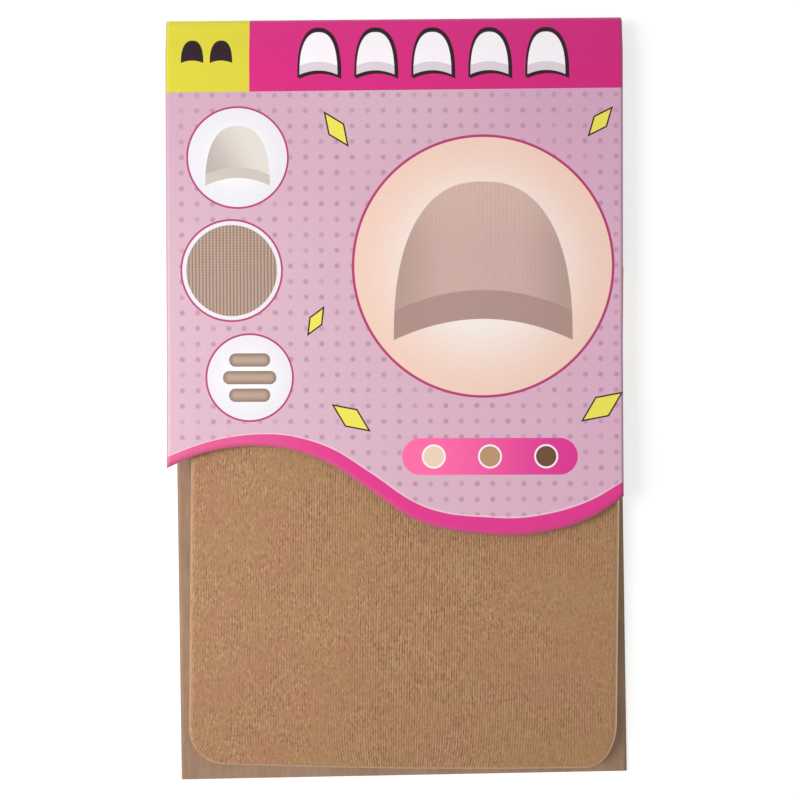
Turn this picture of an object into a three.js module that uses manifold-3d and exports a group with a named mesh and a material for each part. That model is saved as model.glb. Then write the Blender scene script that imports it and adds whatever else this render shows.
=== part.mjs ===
import * as THREE from 'three';
import { mergeVertices } from 'three/addons/utils/BufferGeometryUtils.js';
import Module from 'manifold-3d';

const wasm = await Module();
wasm.setup();

// Two knitted wig caps, one inside the other, stretched flat on a stiff insert and held in a
// folded display card. Millimetres, +Z up. The card's back panel lies on z = 0 with its sides
// along Y, its lower edge towards -Y and the fold towards +Y, and x = 0 is its middle.

// Display card: one sheet of board, folded over at the top
const cardWidth = 130;
const cardHeight = 219.25;
const lowerSkewDegrees = 0.29; // the lower edge is cut a little askew too
const boardThickness = 0.5;
const foldRadius = 2.5; // to the middle of the board
const foldSkewDegrees = 0.34; // the fold leans clockwise, so the flap hangs a little askew
const flapShift = 0.25; // the flap sits this far to the right of the back panel
const flapDrop = 148.11; // from the outside of the fold to the lowest point of the wavy edge
const flapLift = 1.8; // the stiff flap runs on past the hems and stands off the knit by this
const flapTaper = 0.45; // each side of the flap draws in by this towards its lower edge
const flapRiseLength = 12; // the flap springs up from the fold over this length
const flapRiseShare = 0.77; // and reaches this share of its height over the hems

// Lower edge of the flap, as shares of the card's width and of the flap's drop
const waveEdge = [
  { across: 0, drop: 0.8667 },
  { across: 0.055, drop: 0.846 },
  { across: 0.12, drop: 0.8314 },
  { across: 0.19, drop: 0.8262 },
  { across: 0.27, drop: 0.8338 },
  { across: 0.36, drop: 0.8627 },
  { across: 0.45, drop: 0.9152 },
  { across: 0.53, drop: 0.9632 },
  { across: 0.61, drop: 0.9876 },
  { across: 0.7, drop: 0.9981 },
  { across: 0.78, drop: 1 },
  { across: 0.87, drop: 0.9872 },
  { across: 0.94, drop: 0.9637 },
  { across: 1, drop: 0.9277 },
];

// Insert: the stiff card that the caps are stretched on
const insertWidth = 120.6;
const insertHeight = 202.3;
const insertThickness = 1;
const insertEdge = 0.2; // radius that the knife leaves along the edges
const insertBow = 0.7; // the lower edge bulges this much at its middle
const insertTiltDegrees = 1.4; // the insert lies turned clockwise in the display card
const insertShift = -0.46; // the middle of its lower edge, from the middle of the card
const cornerLeft = { across: 9.1, up: 9.1 };
const cornerRight = { across: 7.6, up: 11.6 };

// Wig caps: knitted sleeves with a closed toe below and an open, hemmed mouth above
const knitWall = 0.4;
const capLength = 145; // toe to mouth of the outer cap
const nestedRecess = 4; // the inner cap's mouth lies this far inside the outer one
const hemHeight = 25;
const hemThickening = 0.25; // the turned-in hem is this much thicker than the plain knit
const toeMargin = 3.35; // from the card's lower edge to the outer cap's toe
const edgeWrap = 0.4; // radius of the knit's fold round the insert, past the layers themselves

const clearance = 0.3; // between pieces that lie on each other

// Steps of the round shapes
const waveColumns = 29;
const foldSteps = 10;
const riseSteps = 8;
const flapSteps = 6;
const outlineSteps = 6;
const wrapSteps = 4;

// Layers, as outsets from the faces of the insert
const nestedInside = clearance;
const nestedOutside = nestedInside + knitWall;
const outerInside = nestedOutside + clearance;
const outerOutside = outerInside + knitWall;

const foldSkew = THREE.MathUtils.degToRad(foldSkewDegrees);
const insertTilt = THREE.MathUtils.degToRad(insertTiltDegrees);
const hemStart = capLength - hemHeight - outerOutside;
const mouth = capLength - outerOutside;
const bodyThickness = insertThickness + 2 * outerOutside;
const mouthThickness = bodyThickness + 4 * hemThickening;

// The hems are thicker than the toe, so the stack lies on a slight slope
const stackSlope = Math.atan2(2 * hemThickening, hemStart);
const stackOrigin = new THREE.Vector3(
  insertShift,
  -cardHeight / 2 + toeMargin + outerOutside,
  boardThickness + clearance + bodyThickness / 2,
);

function solidFrom(geometry) {
  const bare = geometry.clone();
  bare.deleteAttribute('normal');
  bare.deleteAttribute('uv');
  const merged = mergeVertices(bare, 1e-5);
  const vertProperties = new Float32Array(merged.attributes.position.array);
  const triVerts = new Uint32Array(merged.index.array);
  return new wasm.Manifold(new wasm.Mesh({ numProp: 3, vertProperties, triVerts }));
}

function geometryFrom(solid) {
  const mesh = solid.getMesh();
  const geometry = new THREE.BufferGeometry();
  geometry.setAttribute('position', new THREE.BufferAttribute(mesh.vertProperties, 3));
  geometry.setIndex(new THREE.BufferAttribute(mesh.triVerts, 1));
  geometry.computeVertexNormals();
  return geometry;
}

// Outline of the insert's lower end grown by an outset, and drawn up to the height top
function endOutline(outset, top) {
  const side = insertWidth / 2 + outset;
  const low = -outset;
  const corner = low + insertBow;
  const left = { across: cornerLeft.across + outset, up: cornerLeft.up + outset };
  const right = { across: cornerRight.across + outset, up: cornerRight.up + outset };
  const outline = new THREE.Shape();
  outline.moveTo(-side, top);
  outline.lineTo(-side, corner + left.up);
  outline.absellipse(-side + left.across, corner + left.up, left.across, left.up,
    Math.PI, 1.5 * Math.PI, false);
  outline.quadraticCurveTo(0, low - insertBow, side - right.across, corner);
  outline.absellipse(side - right.across, corner + right.up, right.across, right.up,
    1.5 * Math.PI, 2 * Math.PI, false);
  outline.lineTo(side, top);
  outline.closePath();
  return outline;
}

// Plate with round edges, centred on z = 0
function roundedPlate(outline, thickness, edge) {
  const plate = new THREE.ExtrudeGeometry(outline, {
    depth: thickness - 2 * edge,
    bevelThickness: edge,
    bevelSize: edge,
    bevelOffset: -edge,
    bevelSegments: wrapSteps,
    curveSegments: outlineSteps,
  });
  plate.translate(0, 0, edge - thickness / 2);
  return plate;
}

// Band of the mouth: a flat round-edged section drawn along Y, with soft ends
function hemBand(outset, thickness, edge, start, end) {
  const side = insertWidth / 2 + outset - edge;
  const half = thickness / 2 - edge;
  const section = new THREE.Shape();
  section.absarc(side, half, edge, 0, 0.5 * Math.PI, false);
  section.absarc(-side, half, edge, 0.5 * Math.PI, Math.PI, false);
  section.absarc(-side, -half, edge, Math.PI, 1.5 * Math.PI, false);
  section.absarc(side, -half, edge, 1.5 * Math.PI, 2 * Math.PI, false);
  section.closePath();
  const band = new THREE.ExtrudeGeometry(section, {
    depth: end - start - 2 * hemThickening,
    bevelThickness: hemThickening,
    bevelSize: hemThickening,
    bevelOffset: -hemThickening,
    bevelSegments: 2,
    curveSegments: wrapSteps / 2,
  });
  band.rotateX(-Math.PI / 2);
  band.translate(0, start + hemThickening, 0);
  return band;
}

// The space inside one face of the knit: the stretched body and its wider band at the mouth
function envelope(outset, bandRise, top) {
  const thickness = insertThickness + 2 * outset;
  const edge = edgeWrap + outset;
  const body = solidFrom(roundedPlate(endOutline(outset, top + 2 * edge), thickness, edge));
  const band = solidFrom(hemBand(outset + bandRise, thickness + 2 * bandRise, edge + bandRise,
    hemStart, top + 2 * edge));
  return body.add(band);
}

// Hollow cap: outer face less inner face, cut off square at the mouth
function knittedCap(inside, insideRise, outside, outsideRise, top) {
  const size = 2 * insertWidth;
  const beyond = new THREE.BoxGeometry(size, size, size);
  beyond.translate(0, top + size / 2, 0);
  const cap = envelope(outside, outsideRise, top).subtract(solidFrom(beyond));
  return geometryFrom(cap.subtract(envelope(inside, insideRise, top + hemHeight)));
}

// Height of the middle of the flap's board at a distance from the outside of the fold
function flapHeight(distance) {
  const overStack = clearance + boardThickness / 2;
  const heightAt = (up, thickness) =>
    stackOrigin.z + up * Math.tan(stackSlope) + thickness / 2 + overStack;
  const dropOf = (up) => cardHeight / 2 - stackOrigin.y - up * Math.cos(insertTilt);
  const foldTop = boardThickness / 2 + 2 * foldRadius;
  const mouthTop = heightAt(mouth, mouthThickness);
  const upAtEnd = (cardHeight / 2 - stackOrigin.y - flapDrop) / Math.cos(insertTilt);
  const stations = [
    { drop: foldRadius + boardThickness / 2, height: foldTop },
    { drop: flapRiseLength, height: foldTop + flapRiseShare * (mouthTop - foldTop) },
    { drop: dropOf(mouth), height: mouthTop },
    { drop: dropOf(hemStart), height: heightAt(hemStart, mouthThickness) },
    { drop: flapDrop, height: heightAt(upAtEnd, bodyThickness) + flapLift },
  ];
  const found = stations.findIndex((station) => station.drop >= distance);
  const next = found < 0 ? stations.length - 1 : Math.max(found, 1);
  const from = stations[next - 1];
  const to = stations[next];
  const share = (distance - from.drop) / (to.drop - from.drop);
  if (next === 1) {
    return from.height + (to.height - from.height) * THREE.MathUtils.smoothstep(share, 0, 1);
  }
  return from.height + (to.height - from.height) * share;
}

// Middle line of the folded board, by the distance along it from the start of the bend:
// out is the reach past that start, and height is over the ground
function foldedLine(along) {
  const bendLength = Math.PI * foldRadius;
  if (along <= 0) {
    return { out: along, height: boardThickness / 2, lean: 0 };
  }
  if (along < bendLength) {
    const turn = along / foldRadius;
    return {
      out: foldRadius * Math.sin(turn),
      height: boardThickness / 2 + foldRadius * (1 - Math.cos(turn)),
      lean: turn,
    };
  }
  const back = along - bendLength;
  const reach = foldRadius + boardThickness / 2;
  const step = 0.01;
  const rise = (flapHeight(back + reach + step) - flapHeight(back + reach)) / step;
  return { out: -back, height: flapHeight(back + reach), lean: Math.PI - Math.atan(rise) };
}

// Closed skin of a sheet given as rows of points with a normal each
function thickSheet(rows, thickness) {
  const columns = rows[0].length;
  const position = [];
  const index = [];
  for (const side of [0.5, -0.5]) {
    for (const row of rows) {
      for (const { point, normal } of row) {
        position.push(...point.clone().addScaledVector(normal, side * thickness).toArray());
      }
    }
  }
  const under = rows.length * columns;
  const at = (i, j, layer) => layer * under + i * columns + j;
  const quad = (a, b, c, d) => index.push(a, b, c, a, c, d);
  for (let i = 0; i < rows.length - 1; i += 1) {
    for (let j = 0; j < columns - 1; j += 1) {
      quad(at(i, j, 0), at(i, j + 1, 0), at(i + 1, j + 1, 0), at(i + 1, j, 0));
      quad(at(i, j, 1), at(i + 1, j, 1), at(i + 1, j + 1, 1), at(i, j + 1, 1));
    }
    quad(at(i, 0, 0), at(i + 1, 0, 0), at(i + 1, 0, 1), at(i, 0, 1));
    quad(at(i, columns - 1, 0), at(i, columns - 1, 1), at(i + 1, columns - 1, 1),
      at(i + 1, columns - 1, 0));
  }
  for (let j = 0; j < columns - 1; j += 1) {
    const last = rows.length - 1;
    quad(at(0, j, 0), at(0, j, 1), at(0, j + 1, 1), at(0, j + 1, 0));
    quad(at(last, j, 0), at(last, j + 1, 0), at(last, j + 1, 1), at(last, j, 1));
  }
  const geometry = new THREE.BufferGeometry();
  geometry.setAttribute('position', new THREE.Float32BufferAttribute(position, 3));
  geometry.setIndex(index);
  geometry.computeVertexNormals();
  return geometry;
}

// The card: its flat blank, a strip with a wavy far edge, bent round a slightly skewed line
function displayCard() {
  const bendStart = cardHeight / 2 - foldRadius - boardThickness / 2;
  const bendLength = Math.PI * foldRadius;
  const wave = new THREE.SplineCurve(waveEdge.map(({ across, drop }) =>
    new THREE.Vector2((across - 0.5) * cardWidth, drop * flapDrop)));
  const alongFold = new THREE.Vector3(Math.cos(foldSkew), -Math.sin(foldSkew), 0);
  const outOfFold = new THREE.Vector3(Math.sin(foldSkew), Math.cos(foldSkew), 0);
  const pivot = new THREE.Vector3(0, bendStart, 0);
  const lowerSlope = Math.tan(foldSkew) + Math.tan(THREE.MathUtils.degToRad(lowerSkewDegrees));

  const bent = (across, along) => {
    const flat = new THREE.Vector3(across, bendStart - across * Math.tan(foldSkew) + along, 0);
    flat.sub(pivot);
    const onward = flat.dot(outOfFold);
    const line = foldedLine(onward);
    const shift = flapShift * THREE.MathUtils.smoothstep(onward, 0, bendLength);
    const down = THREE.MathUtils.clamp((onward - bendLength) / flapDrop, 0, 1);
    const narrowing = 1 - flapTaper / (cardWidth / 2) * down;
    const point = pivot.clone()
      .addScaledVector(alongFold, (flat.dot(alongFold) + shift) * narrowing)
      .addScaledVector(outOfFold, line.out);
    point.z = line.height;
    const normal = outOfFold.clone().multiplyScalar(-Math.sin(line.lean));
    normal.z = Math.cos(line.lean);
    return { point, normal };
  };

  const columns = [];
  for (let j = 0; j <= waveColumns; j += 1) {
    const edge = wave.getPoint(j / waveColumns);
    columns.push({ across: edge.x, end: edge.y });
  }
  const shares = (count) => Array.from({ length: count }, (_, i) => (i + 1) / count);
  const flapStart = bendLength;
  const riseEnd = bendLength + flapRiseLength - foldRadius - boardThickness / 2;
  const rows = [
    columns.map(({ across }) => ({
      across,
      along: -cardHeight / 2 - bendStart + across * lowerSlope,
    })),
    columns.map(({ across }) => ({ across, along: 0 })),
    ...shares(foldSteps).map((share) =>
      columns.map(({ across }) => ({ across, along: share * bendLength }))),
    ...shares(riseSteps).map((share) =>
      columns.map(({ across }) => ({ across, along: flapStart + share * (riseEnd - flapStart) }))),
    ...shares(flapSteps).map((share) =>
      columns.map(({ across, end }) => {
        const flapEnd = bendLength + end - foldRadius - boardThickness / 2;
        return { across, along: riseEnd + share * (flapEnd - riseEnd) };
      })),
  ];
  return thickSheet(
    rows.map((row) => row.map(({ across, along }) => bent(across, along))),
    boardThickness,
  );
}

function piece(name, geometry, colour, roughness) {
  const material = new THREE.MeshStandardMaterial({ color: colour, roughness, metalness: 0 });
  const mesh = new THREE.Mesh(geometry, material);
  mesh.name = name;
  return mesh;
}

const stack = new THREE.Group();
stack.position.copy(stackOrigin);
stack.rotation.set(stackSlope, 0, -insertTilt, 'ZXY');
stack.add(piece('insert_card',
  roundedPlate(endOutline(0, insertHeight), insertThickness, insertEdge), 0xe9e6de, 0.8));
stack.add(piece('inner_cap',
  knittedCap(nestedInside, 0, nestedOutside, hemThickening, mouth - nestedRecess), 0xb98f6a, 0.9));
stack.add(piece('wig_cap',
  knittedCap(outerInside, hemThickening, outerOutside, 2 * hemThickening, mouth), 0xb08a66, 0.9));

const wigCapOnCard = new THREE.Group();
wigCapOnCard.add(piece('display_card', displayCard(), 0xe0b4cd, 0.45));
wigCapOnCard.add(stack);

export default wigCapOnCard;
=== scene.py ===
import math
import bpy
import numpy as np
from mathutils import Matrix, Vector


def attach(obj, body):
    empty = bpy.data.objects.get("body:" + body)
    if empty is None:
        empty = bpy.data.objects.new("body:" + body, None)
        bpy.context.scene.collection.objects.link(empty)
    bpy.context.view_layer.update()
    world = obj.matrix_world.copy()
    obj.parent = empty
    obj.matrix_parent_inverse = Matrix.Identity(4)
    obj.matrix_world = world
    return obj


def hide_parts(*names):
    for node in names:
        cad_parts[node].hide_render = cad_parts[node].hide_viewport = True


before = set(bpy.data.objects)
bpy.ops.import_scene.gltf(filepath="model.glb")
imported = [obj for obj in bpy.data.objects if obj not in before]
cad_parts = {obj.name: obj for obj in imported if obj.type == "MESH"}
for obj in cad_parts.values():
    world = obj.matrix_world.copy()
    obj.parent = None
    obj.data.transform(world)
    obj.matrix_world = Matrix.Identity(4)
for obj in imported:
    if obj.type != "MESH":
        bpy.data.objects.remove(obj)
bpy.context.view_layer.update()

mm = 0.001  # sizes below are in millimetres, the scene is in metres
print("frame loaded:", ", ".join(sorted(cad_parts)))


# Camera, floor and light
studio = {
    "cameraPlace": (0.356, -0.05, 210.3),  # straight above the card
    "cameraTurn": -0.8387,  # degrees
    "lens": 32.32,
    "sensor": 36,
    "floorSize": 6000,
    "floorDrop": 0.15,
    "floorColour": "b4b4b4",
    "floorGlow": 0.6,  # the floor is a light table
    "skyStrength": 0.58,
    "keyPlace": (-450, -10, 380),
    "keySize": 300,
    "keyPower": 3.05,
}


def colour(code):
    values = []
    for k in (0, 2, 4):
        share = int(code[k:k + 2], 16) / 255
        values.append(share / 12.92 if share <= 0.04045 else ((share + 0.055) / 1.055) ** 2.4)
    return (*values, 1.0)


def newNode(tree, kind, **settings):
    node = tree.nodes.new(kind)
    for name, value in settings.items():
        setattr(node, name, value)
    return node


def feed(tree, socket, value):
    # links a socket, or sets a number, a vector or the code of a colour
    if isinstance(value, bpy.types.NodeSocket):
        tree.links.new(value, socket)
    else:
        socket.default_value = colour(value) if isinstance(value, str) else value


def calc(tree, operation, *values):
    node = newNode(tree, "ShaderNodeMath", operation=operation)
    for socket, value in zip(node.inputs, values):
        feed(tree, socket, value)
    return node.outputs[0]


def plus(tree, a, b):
    return calc(tree, "ADD", a, b)


def minus(tree, a, b):
    return calc(tree, "SUBTRACT", a, b)


def times(tree, a, b):
    return calc(tree, "MULTIPLY", a, b)


def vectorCalc(tree, operation, *values):
    node = newNode(tree, "ShaderNodeVectorMath", operation=operation)
    for socket, value in zip(node.inputs, values):
        feed(tree, socket, value)
    return node.outputs["Value" if operation in ("LENGTH", "DISTANCE") else "Vector"]


def scaled(tree, vector, factor):
    node = newNode(tree, "ShaderNodeVectorMath", operation="SCALE")
    feed(tree, node.inputs[0], vector)
    feed(tree, node.inputs["Scale"], factor)
    return node.outputs[0]


def fade(tree, value, start, end, low=0.0, high=1.0):
    # smooth step from low at start to high at end
    node = newNode(tree, "ShaderNodeMapRange", interpolation_type="SMOOTHSTEP")
    for name, setting in zip(("Value", "From Min", "From Max", "To Min", "To Max"),
                             (value, start, end, low, high)):
        feed(tree, node.inputs[name], setting)
    return node.outputs["Result"]


def layOver(tree, under, over, share):
    node = newNode(tree, "ShaderNodeMix", data_type="RGBA")
    for k, value in ((0, share), (6, under), (7, over)):
        feed(tree, node.inputs[k], value)
    return node.outputs[2]


def split(tree, vector):
    node = newNode(tree, "ShaderNodeSeparateXYZ")
    feed(tree, node.inputs[0], vector)
    return node.outputs


def ripple(tree, vector, direction, scale):
    node = newNode(tree, "ShaderNodeTexWave", bands_direction=direction, wave_profile="SIN")
    feed(tree, node.inputs["Vector"], vector)
    feed(tree, node.inputs["Scale"], scale)
    return node.outputs["Fac"]


def noise(tree, vector, scale, detail=2.0, roughness=0.5):
    node = newNode(tree, "ShaderNodeTexNoise")
    for name, value in zip(("Vector", "Scale", "Detail", "Roughness"),
                           (vector, scale, detail, roughness)):
        feed(tree, node.inputs[name], value)
    return node.outputs["Fac"]


def attribute(tree, name, output="Fac"):
    return newNode(tree, "ShaderNodeAttribute", attribute_name=name).outputs[output]


def makeGroup(name, inputs, outputs):
    tree = bpy.data.node_groups.new(name, "ShaderNodeTree")
    for label, value in inputs.items():
        kind = "NodeSocketFloat"
        if not isinstance(value, float):
            kind = "NodeSocketColor" if len(value) == 4 else "NodeSocketVector"
        tree.interface.new_socket(label, in_out="INPUT", socket_type=kind).default_value = value
    for label in outputs:
        kind = "NodeSocketColor" if label == "Colour" else "NodeSocketFloat"
        tree.interface.new_socket(label, in_out="OUTPUT", socket_type=kind)
    given = tree.nodes.new("NodeGroupInput").outputs
    result = tree.nodes.new("NodeGroupOutput").inputs
    return tree, given, result


def useGroup(tree, group, **values):
    node = newNode(tree, "ShaderNodeGroup", node_tree=group)
    for label, value in values.items():
        feed(tree, node.inputs[label], value)
    return node.outputs


def startMaterial(name, roughness, sheen=0.0, specular=0.5):
    material = bpy.data.materials.new(name)
    material.use_nodes = True
    tree = material.node_tree
    shader = tree.nodes["Principled BSDF"]
    shader.inputs["Roughness"].default_value = roughness
    shader.inputs["Sheen Weight"].default_value = sheen
    shader.inputs["Specular IOR Level"].default_value = specular
    return material, tree, shader


def addBump(tree, shader, height, strength, distance):
    bump = newNode(tree, "ShaderNodeBump")
    bump.inputs["Strength"].default_value = strength
    bump.inputs["Distance"].default_value = distance * mm
    feed(tree, bump.inputs["Height"], height)
    feed(tree, shader.inputs["Normal"], bump.outputs["Normal"])


def makeStudio():
    scene = bpy.context.scene
    scene.view_settings.view_transform = "Standard"
    scene.view_settings.look = "None"

    camera = bpy.data.cameras.new("camera")
    camera.lens = studio["lens"]
    camera.sensor_width = studio["sensor"]
    camera.clip_start = 0.01
    cameraObject = bpy.data.objects.new("camera", camera)
    cameraObject.location = Vector(studio["cameraPlace"]) * mm
    cameraObject.rotation_euler = (0, 0, math.radians(studio["cameraTurn"]))
    scene.collection.objects.link(cameraObject)
    scene.camera = cameraObject

    world = bpy.data.worlds.new("sky")
    world.use_nodes = True
    world.node_tree.nodes["Background"].inputs["Color"].default_value = (1, 1, 1, 1)
    world.node_tree.nodes["Background"].inputs["Strength"].default_value = studio["skyStrength"]
    scene.world = world

    key = bpy.data.lights.new("key", "AREA")
    key.size = studio["keySize"] * mm
    key.energy = studio["keyPower"]
    keyObject = bpy.data.objects.new("key", key)
    keyObject.location = Vector(studio["keyPlace"]) * mm
    keyObject.rotation_euler = (-keyObject.location).to_track_quat("-Z", "Y").to_euler()
    scene.collection.objects.link(keyObject)

    half = studio["floorSize"] / 2 * mm
    low = -studio["floorDrop"] * mm
    mesh = bpy.data.meshes.new("floor")
    corners = [(-half, -half, low), (half, -half, low), (half, half, low), (-half, half, low)]
    mesh.from_pydata(corners, [], [(0, 1, 2, 3)])
    material, tree, shader = startMaterial("paleFloor", 0.9, specular=0.2)
    shader.inputs["Base Color"].default_value = colour(studio["floorColour"])
    shader.inputs["Emission Color"].default_value = (1, 1, 1, 1)
    shader.inputs["Emission Strength"].default_value = studio["floorGlow"]
    mesh.materials.append(material)
    floor = bpy.data.objects.new("floor", mesh)
    scene.collection.objects.link(floor)
    print("studio ready")


# Fibres of unfinished board, in the plain face, the cut edge and the insert
def makeBoardFibres():
    inputs = {"Place": (0.0, 0.0, 0.0), "Light": colour("a3876c"), "Dark": colour("8d735b"),
              "Speck": 0.35}
    tree, given, result = makeGroup("boardFibres", inputs, ("Colour", "Height"))
    along = vectorCalc(tree, "MULTIPLY", given["Place"], (900.0, 160.0, 900.0))
    fibre = noise(tree, along, 1.0, 4.0, 0.6)
    cloud = noise(tree, given["Place"], 55.0, 3.0, 0.55)
    grain = noise(tree, given["Place"], 2600.0, 2.0, 0.6)
    share = plus(tree, times(tree, fade(tree, fibre, 0.35, 0.65), 0.45),
                 times(tree, fade(tree, cloud, 0.35, 0.65), 0.4))
    plain = layOver(tree, given["Light"], given["Dark"], share)
    speck = times(tree, fade(tree, grain, 0.62, 0.72), given["Speck"])
    feed(tree, result["Colour"], layOver(tree, plain, given["Dark"], speck))
    feed(tree, result["Height"], plus(tree, times(tree, fibre, 0.6), times(tree, grain, 0.4)))
    return tree


def makeBoardMaterial(name, fibres, light, dark, roughness):
    material, tree, shader = startMaterial(name, roughness, specular=0.25)
    place = newNode(tree, "ShaderNodeTexCoord").outputs["Object"]
    board = useGroup(tree, fibres, Place=place, Light=light, Dark=dark)
    feed(tree, shader.inputs["Base Color"], board["Colour"])
    addBump(tree, shader, board["Height"], 0.35, 0.06)
    return material


# Printed shapes. Places on the flap are in millimetres: across from its middle, down from the fold
inkEdge = 0.06  # half the width over which a printed edge blends


def within(tree, distance, soft=inkEdge):
    # 1 where a distance is negative and 0 where it is positive
    return fade(tree, distance, soft, -soft)


def makeSpotGroup():
    inputs = {"Place": (0.0, 0.0, 0.0), "Centre": (0.0, 0.0, 0.0), "Radius": 10.0, "Ring": 0.8}
    tree, given, result = makeGroup("printedSpot", inputs, ("Inside", "Rim", "Distance"))
    away = vectorCalc(tree, "DISTANCE", given["Place"], given["Centre"])
    distance = minus(tree, away, given["Radius"])
    feed(tree, result["Inside"], within(tree, distance))
    inner = plus(tree, distance, given["Ring"])
    feed(tree, result["Rim"], fade(tree, inner, -inkEdge, inkEdge))
    feed(tree, result["Distance"], distance)
    return tree


def makeBarGroup():
    inputs = {"Place": (0.0, 0.0, 0.0), "Centre": (0.0, 0.0, 0.0), "Half": (5.0, 5.0, 0.0),
              "Corner": 1.0}
    tree, given, result = makeGroup("printedBar", inputs, ("Inside", "Distance"))
    corner = newNode(tree, "ShaderNodeCombineXYZ")
    for socket in corner.inputs:
        feed(tree, socket, given["Corner"])
    offset = vectorCalc(tree, "SUBTRACT", given["Place"], given["Centre"])
    offset = vectorCalc(tree, "ABSOLUTE", offset)
    core = vectorCalc(tree, "SUBTRACT", given["Half"], corner.outputs[0])
    past = vectorCalc(tree, "MULTIPLY", vectorCalc(tree, "SUBTRACT", offset, core), (1.0, 1.0, 0.0))
    outside = vectorCalc(tree, "LENGTH", vectorCalc(tree, "MAXIMUM", past, (0.0, 0.0, 0.0)))
    distance = minus(tree, outside, given["Corner"])
    feed(tree, result["Inside"], within(tree, distance))
    feed(tree, result["Distance"], distance)
    return tree


# A plain drawn cap: a dome over an arched band. Size is half its width, its height and its arch
def makeCapGroup():
    inputs = {"Place": (0.0, 0.0, 0.0), "Foot": (0.0, 0.0, 0.0), "Size": (5.0, 10.0, 2.0),
              "Band": 3.0, "Outline": 0.5}
    tree, given, result = makeGroup("printedCap", inputs, ("Inside", "Outlined", "Band", "Crown",
                                                          "Across"))
    place = split(tree, vectorCalc(tree, "SUBTRACT", given["Place"], given["Foot"]))
    halfWidth, height, arch = split(tree, given["Size"])
    across = calc(tree, "DIVIDE", place[0], halfWidth)
    bow = times(tree, arch, minus(tree, 1.0, times(tree, across, across)))
    up = times(tree, place[1], -1.0)
    overFoot = minus(tree, up, bow)
    crown = calc(tree, "DIVIDE", up, height)
    squareness = 2.4  # 2 would be an ellipse
    sides = calc(tree, "POWER", calc(tree, "ABSOLUTE", across), squareness)
    top = calc(tree, "POWER", calc(tree, "MAXIMUM", crown, 0.0), squareness)
    fullness = calc(tree, "POWER", plus(tree, sides, top), 1 / squareness)
    domeDistance = times(tree, minus(tree, fullness, 1.0), halfWidth)
    distance = calc(tree, "MAXIMUM", domeDistance, times(tree, overFoot, -1.0))
    feed(tree, result["Inside"], within(tree, distance))
    feed(tree, result["Outlined"], within(tree, minus(tree, distance, given["Outline"])))
    feed(tree, result["Band"], within(tree, minus(tree, overFoot, given["Band"]), 0.08))
    feed(tree, result["Crown"], crown)
    feed(tree, result["Across"], across)
    return tree


# A four-sided spark, turned by Turn degrees
def makeSparkGroup():
    inputs = {"Place": (0.0, 0.0, 0.0), "Centre": (0.0, 0.0, 0.0), "Half": (2.0, 5.0, 1.0),
              "Turn": 0.0, "Outline": 0.5}
    tree, given, result = makeGroup("printedSpark", inputs, ("Inside", "Outlined"))
    offset = vectorCalc(tree, "SUBTRACT", given["Place"], given["Centre"])
    turned = newNode(tree, "ShaderNodeVectorRotate", rotation_type="Z_AXIS")
    feed(tree, turned.inputs["Vector"], offset)
    feed(tree, turned.inputs["Angle"], calc(tree, "RADIANS", given["Turn"]))
    offset = vectorCalc(tree, "ABSOLUTE", turned.outputs[0])
    shares = split(tree, vectorCalc(tree, "DIVIDE", offset, given["Half"]))
    fullness = plus(tree, shares[0], shares[1])
    size = times(tree, split(tree, given["Half"])[0], 0.9)
    distance = times(tree, minus(tree, fullness, 1.0), size)
    feed(tree, result["Inside"], within(tree, distance, 0.05))
    feed(tree, result["Outlined"], within(tree, minus(tree, distance, given["Outline"]), 0.05))
    return tree


design = {
    "groundLeft": "d3aebd",
    "groundTop": "bd8cac",
    "groundRight": "d7a9c1",
    "dot": "b38ba3",
    "dotPitch": 4.416,
    "dotRadius": 0.72,
    "dotSoftness": 0.34,
    "dotStart": (-60.57, 22.99),
    "dotMargin": 64.2,
    "headerDepth": (22.15, 21.1),  # at the left and at the right side
    "headerTop": "cf2a7c",
    "headerLow": "d3257b",
    "headerRight": "c21a72",
    "blockEdge": -41.2,
    "block": "d6cc38",
    "borderLeft": "db588b",
    "borderRight": "da3689",
    "borderLine": "f3c9dd",
    "borderEdge": "b06572",
    "ink": "2a1420",
    "white": "f4eef2",
    "ring": "b43c70",
    "spotGround": ("f6f3f4", "e3e0e6"),  # in the middle and at the ring
    "smallCap": ("b9aba6", "dcd5cc", "c9beb4"),  # shaded, lit, band
    "enlargedKnit": ("8d7468", "c4aa98"),
    "foldedCaps": ("b79c8a", "8f776a"),
    "bigSpotGround": ("f1e9e4", "ecc9b8"),
    # middle, sides, top, band and strands
    "bigCap": ("cbaaa2", "b4988e", "d3b4aa", "a98981", "967a70"),
    "pillColours": ("f96aa4", "d9348f"),
    "spark": "e8de55",
    "figureBand": "d9ccd4",
    "edge": "a08490",
    "rearWrap": -9.0,
    "rear": "ecd3df",
    "figures": {"first": -21.5, "pitch": 16.2, "count": 5, "foot": 17.2, "size": (5.4, 12.4, 1.2)},
    "countMarks": {"places": (-57.4, -49.2), "foot": 13.8, "size": (3.2, 6.6, 0.7)},
    "spots": ((-44.6, 40.7, 14.6), (-46.4, 72.8, 14.6), (-41.4, 103.2, 12.6)),
    "bigSpot": (25.2, 71.7, 37.4),
    "pill": {"centre": (27.0, 125.7), "half": (25.0, 5.2)},
    "swatches": {"first": 11.0, "pitch": 16.0, "tones": ("e8cdb4", "b98f6b", "6f4a35")},
    # place, half width, half length and turn in degrees
    "sparks": ((-16.5, 32.7, 2.3, 5.2, 35), (-22.5, 87.2, 1.7, 3.9, -30),
               (-12.5, 114.7, 2.6, 5.8, 55), (58.6, 30.7, 2.0, 4.6, -40),
               (59.0, 111.7, 2.9, 6.4, -55)),
}


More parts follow.
